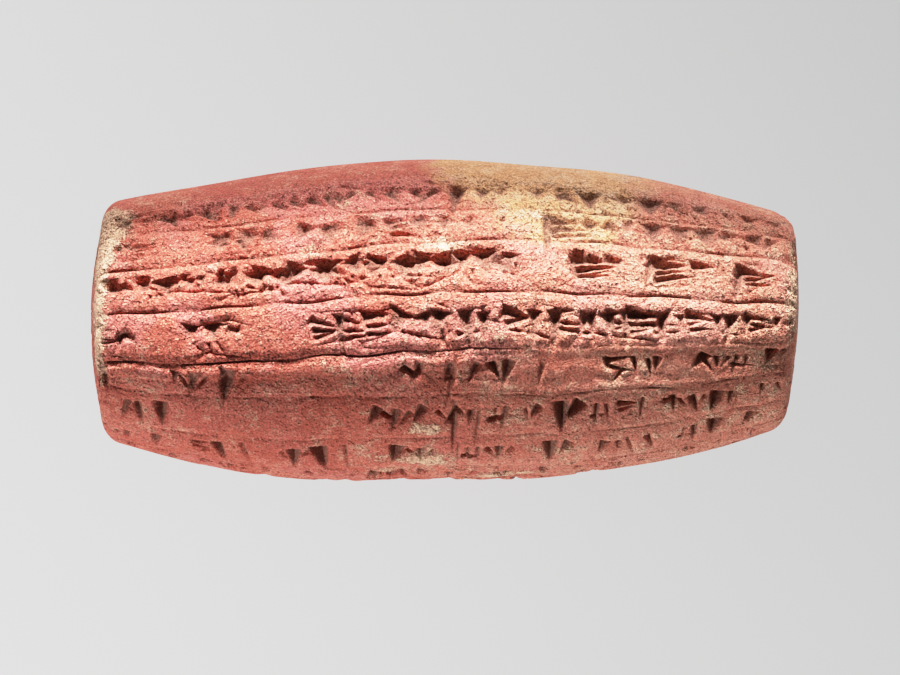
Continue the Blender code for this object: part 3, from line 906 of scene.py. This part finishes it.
def makeClayMaterial():
    material = bpy.data.materials.new("firedClay")
    material.use_nodes = True
    tree = material.node_tree
    shader = tree.nodes["Principled BSDF"]
    place = field(tree, "ShaderNodeTexCoord", output="Object")
    sandy = fromMesh(tree, "sandy")
    standing = fromMesh(tree, "standing")
    pressed = fromMesh(tree, "pressed")
    broad = noise(tree, place, finish["broadSize"], 3.0, 0.55)
    middling = noise(tree, place, finish["middlingSize"], 4.0, 0.6)
    fine = noise(tree, place, finish["fineSize"], 3.0, 0.65)
    gritty = noise(tree, place, finish["grittySize"], 2.0, 0.6)

    # the red body, deeper where it is pressed and paler in patches
    body = mixed(tree, fade(tree, broad, 0.35, 0.65), finish["deepRed"], finish["red"])
    body = mixed(tree, fade(tree, middling, 0.48, 0.72) * amounts["paleRed"], body, finish["paleRed"])
    pinkish = noise(tree, place, finish["pinkSize"], shift=(0.3, 0.1, 0.2)) + (middling - 0.5) * 0.3
    body = mixed(tree, fade(tree, pinkish, 0.45, 0.6) * sandy * amounts["pinkRed"], body, finish["pinkRed"])

    # the buff stretch along the top
    ragged = (middling - 0.5) * 0.5 + (broad - 0.5) * 1.2 + (fine - 0.5) * 0.2
    ragged = ragged + (noise(tree, place, finish["raggedSize"], 1.0) - 0.5) * 0.9
    inBuff = fade(tree, fromMesh(tree, "fromBuff") + ragged, 0.72, 1.18, 1.0, 0.0)
    buff = mixed(tree, fade(tree, middling, 0.4, 0.7), finish["buff"], finish["paleBuff"])
    body = mixed(tree, inBuff, body, buff)

    # dust over the right part, and a pale crust that is left on ridges and in patches
    low, high, most = finish["dust"]
    dust = fade(tree, parts(tree, place)[0], low, high) * most
    body = mixed(tree, dust * fade(tree, middling, 0.3, 0.7, 0.5, 1.0), body, finish["crust"])
    rough = (fine - 0.5) * 1.5 + (gritty - 0.5) * 0.7
    wear = (broad - 0.5) * 1.6 + (middling - 0.5) * 2.0 + standing * 0.3 + dust * 0.5 - pressed * 0.5
    crust = fade(tree, wear + rough, 0.36, 0.95) * amounts["crust"]
    marked = fromMesh(tree, "marked") * 0.9 + (middling - 0.5) * 1.5
    crust = calc(tree, "MAXIMUM", crust, fade(tree, marked + rough, 0.35, 0.85) * amounts["crustPatches"])
    body = mixed(tree, crust, body, finish["crust"])

    # thin pale scratches along the smooth clay, and smears of dust
    along = vectorCalc(tree, "MULTIPLY", place, (0.12, 1.0, 1.0))
    scratches = fade(tree, noise(tree, along, finish["scratchSize"], 2.0, 0.6), 0.64, 0.74)
    scratches = scratches * fade(tree, broad, 0.45, 0.6)
    body = mixed(tree, scratches * (1.0 - sandy) * amounts["scratches"], body, finish["crust"])
    smears = fade(tree, fine + (middling - 0.5) * 0.9 + (broad - 0.5) * 0.6, 0.5, 0.78)
    body = mixed(tree, smears * (1.0 - sandy) * amounts["smears"], body, finish["crust"])

    # short broken cracks and small granules on the sandy clay; the cracks get painted shade
    stirred = scaled(tree, drifting(tree, place, finish["stirSize"]), finish["stirSize"])
    bent = vectorCalc(tree, "ADD", place, stirred)
    flakes = fade(tree, fromCrack(tree, bent, finish["flakeSize"]), 0.02, 0.1, 1.0, 0.0)
    broken = noise(tree, place, finish["crackSize"], 1.0, shift=(0.7, 0.0, 0.4))
    flakes = flakes * fade(tree, broken, 0.55, 0.62) * (0.12 + sandy * 0.88)
    cells = {"Vector": bent, "Scale": 1.0 / finish["granuleSize"]}
    granules = 1.0 - field(tree, "ShaderNodeTexVoronoi", cells, "Distance")
    granules = granules * (0.15 + sandy * 0.5 + crust * 0.6)
    body = mixed(tree, flakes * amounts["flakes"], body, finish["crackAndPitShade"])

    # grains and pits, and painted shade in the strokes and in the low places between lumps
    grains = specks(tree, place, finish["grainSize"], 0.25, 0.6)
    body = mixed(tree, grains * (0.12 + sandy * 0.3), body, finish["crust"])
    # painted shade in the pits, which the bump also presses down
    pits = specks(tree, place, finish["pitSize"], 0.22, 0.34)
    body = mixed(tree, pits * (0.35 + sandy * 0.5 + crust * 0.15), body, finish["crackAndPitShade"])
    # painted shade: darker where the clay is pressed or lies lower than its surroundings
    lowPlaceShade = fade(tree, standing, -1.1, -0.25, 1.0, 0.0)
    hollows = calc(tree, "MAXIMUM", fade(tree, pressed, 0.08, 0.45), lowPlaceShade)
    body = mixed(tree, hollows * amounts["hollows"], body, finish["hollow"])
    shade = 1.0 + (fade(tree, gritty, 0.28, 0.72) - 0.5) * (0.66 + sandy * 0.36)
    shade = shade * (0.85 + fine * 0.3)
    tint = vector(tree, shade, shade, shade)
    body = mixed(tree, 1.0, body, tint, blend="MULTIPLY")
    tree.links.new(body.socket, shader.inputs["Base Color"])

    # the grain of the surface, in mm
    surface = (gritty - 0.5) * 0.26 * (0.35 + sandy * 0.65)
    surface = surface + (fine - 0.5) * 0.45 * (0.2 + sandy * 0.8)
    surface = surface + granules * 0.3 - flakes * 0.3
    surface = surface + grains * 0.06 - pits * 0.2 + crust * 0.06
    bump = addNode(tree, "ShaderNodeBump", {"Height": surface})
    bump.inputs["Strength"].default_value = 1.0
    bump.inputs["Distance"].default_value = mm
    tree.links.new(bump.outputs["Normal"], shader.inputs["Normal"])
    shader.inputs["Roughness"].default_value = finish["roughness"]
    shader.inputs["Specular IOR Level"].default_value = finish["specular"]
    return material


# the stage

stage = {
    "floorSize": 60.0,
    "floorGlow": 0.725,               # the floor's own light, so that it stays even and pale round the clay
    "floorDarkening": (1.45, 0.95),   # how much the glow falls off for each metre to the right, and upwards
    "floorEvenFrom": 0.15,            # and about how far from the clay it stops falling off
    "floorColour": (0.07, 0.07, 0.07, 1.0),
    "floorDrop": 0.2 * mm,            # just under the clay
    "cameraHeight": 0.75,             # it looks straight down
    "frameWidth": 144.25 * mm,        # what the picture takes in at the height of the barrel's axis
    "aimX": 0.9 * mm,
    "aimY": -2.72 * mm,
    "worldStrength": 0.05,
}

# azimuth 0 is +Y, the picture's top, and 90 is +X; elevation is above the floor
lamps = {
    "key": {"azimuth": -4.0, "elevation": 23.0, "distance": 1.2, "size": 0.19, "power": 74.0},
    "lowFill": {"azimuth": 201.0, "elevation": 4.0, "distance": 1.0, "size": 0.24, "power": 8.8},
    "highFill": {"azimuth": 0.0, "elevation": 3.0, "distance": 1.0, "size": 0.5, "power": 9.4},
    "rightFill": {"azimuth": 62.0, "elevation": 10.0, "distance": 1.0, "size": 0.4, "power": 2.2},
}
floorLamp = {"azimuth": 0.0, "elevation": 80.0, "distance": 1.0, "size": 0.9, "power": 3.0}

# a card between the key light and the top of the barrel, seen by no camera
flag = {"away": 105.0 * mm, "top": 82.5 * mm, "width": 500.0 * mm}

# the film: light in, from 0 to white, and tone out; it rolls off the brightest tones
film = {
    "white": 2.5,
    "curve": ((0.12, 0.30), (0.20, 0.50), (0.28, 0.66), (0.40, 0.80), (0.64, 0.91), (1.0, 0.98)),
}


def makeFloor():
    half = stage["floorSize"] / 2
    low = -stage["floorDrop"]
    corners = [(-half, -half, low), (half, -half, low), (half, half, low), (-half, half, low)]
    made = addMesh("floor", corners, [], [(0, 1, 2, 3)])
    material = bpy.data.materials.new("paleFloor")
    material.use_nodes = True
    tree = material.node_tree
    shader = tree.nodes["Principled BSDF"]
    shader.inputs["Base Color"].default_value = stage["floorColour"]
    shader.inputs["Roughness"].default_value = 0.9
    shader.inputs["Emission Color"].default_value = (1.0, 1.0, 1.0, 1.0)
    even = stage["floorEvenFrom"]
    glow = stage["floorGlow"]
    place = field(tree, "ShaderNodeTexCoord", output="Object")
    for away, darkening in zip(parts(tree, place), stage["floorDarkening"]):
        glow = glow - calc(tree, "TANH", away / even) * (even * darkening)
    wire(tree, shader.inputs["Emission Strength"], glow)
    made.data.materials.append(material)
    return made


def makeFlag():
    half = flag["width"] / 2
    y = flag["away"]
    corners = [(-half, y, 0.0), (half, y, 0.0), (half, y, flag["top"]), (-half, y, flag["top"])]
    made = addMesh("flag", corners, [], [(0, 1, 2, 3)])
    for ray in ("camera", "diffuse", "glossy", "transmission", "volume_scatter"):
        setattr(made, "visible_" + ray, False)
    return made


def makeCamera():
    data = bpy.data.cameras.new("camera")
    data.sensor_width = 36.0
    distance = stage["cameraHeight"] - barrel["Axis Height"]
    data.lens = data.sensor_width * distance / stage["frameWidth"]
    data.clip_start = 0.01
    data.clip_end = 20.0
    made = addObject("camera", data)
    made.location = (stage["aimX"], stage["aimY"], stage["cameraHeight"])
    bpy.context.scene.camera = made


def group(name, *things):
    made = bpy.data.collections.new(name)
    for thing in things:
        made.objects.link(thing)
    return made


def addLamp(name, lamp, lit, blockers):
    # a round soft light that shines on some things alone, and is blocked by some alone
    data = bpy.data.lights.new(name, "AREA")
    data.shape = "DISK"
    data.size = lamp["size"]
    data.energy = lamp["power"]
    made = addObject(name, data)
    azimuth = math.radians(lamp["azimuth"])
    elevation = math.radians(lamp["elevation"])
    flat = math.cos(elevation)
    towards = Vector((math.sin(azimuth) * flat, math.cos(azimuth) * flat, math.sin(elevation)))
    made.location = towards * lamp["distance"] + Vector((0.0, 0.0, barrel["Axis Height"]))
    made.rotation_euler = towards.to_track_quat("Z", "Y").to_euler()
    made.light_linking.receiver_collection = lit
    made.light_linking.blocker_collection = blockers


def makeLights(clay, floor, card):
    clayAlone = group("clayAlone", clay)
    clayAndCard = group("clayAndCard", clay, card)
    for name, lamp in lamps.items():
        addLamp(name, lamp, clayAlone, clayAndCard if name == "key" else clayAlone)
    addLamp("floorLight", floorLamp, group("floorAlone", floor), clayAlone)
    world = bpy.data.worlds.new("studio")
    bpy.context.scene.world = world
    world.use_nodes = True
    sky = world.node_tree.nodes["Background"]
    sky.inputs["Color"].default_value = (1.0, 1.0, 1.0, 1.0)
    sky.inputs["Strength"].default_value = stage["worldStrength"]


def loadFilm():
    view = bpy.context.scene.view_settings
    view.view_transform = "Standard"
    view.use_curve_mapping = True
    mapping = view.curve_mapping
    mapping.white_level = [film["white"]] * 3
    combined = mapping.curves[3]
    combined.points[-1].location = film["curve"][-1]
    for place in film["curve"][:-1]:
        combined.points.new(*place)
    mapping.update()


clay = makeClay(makeClayMaterial())
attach(clay, "root")
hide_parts("clay_cylinder")
floor = makeFloor()
card = makeFlag()
makeCamera()
makeLights(clay, floor, card)
loadFilm()
print("floor, camera and lights set")
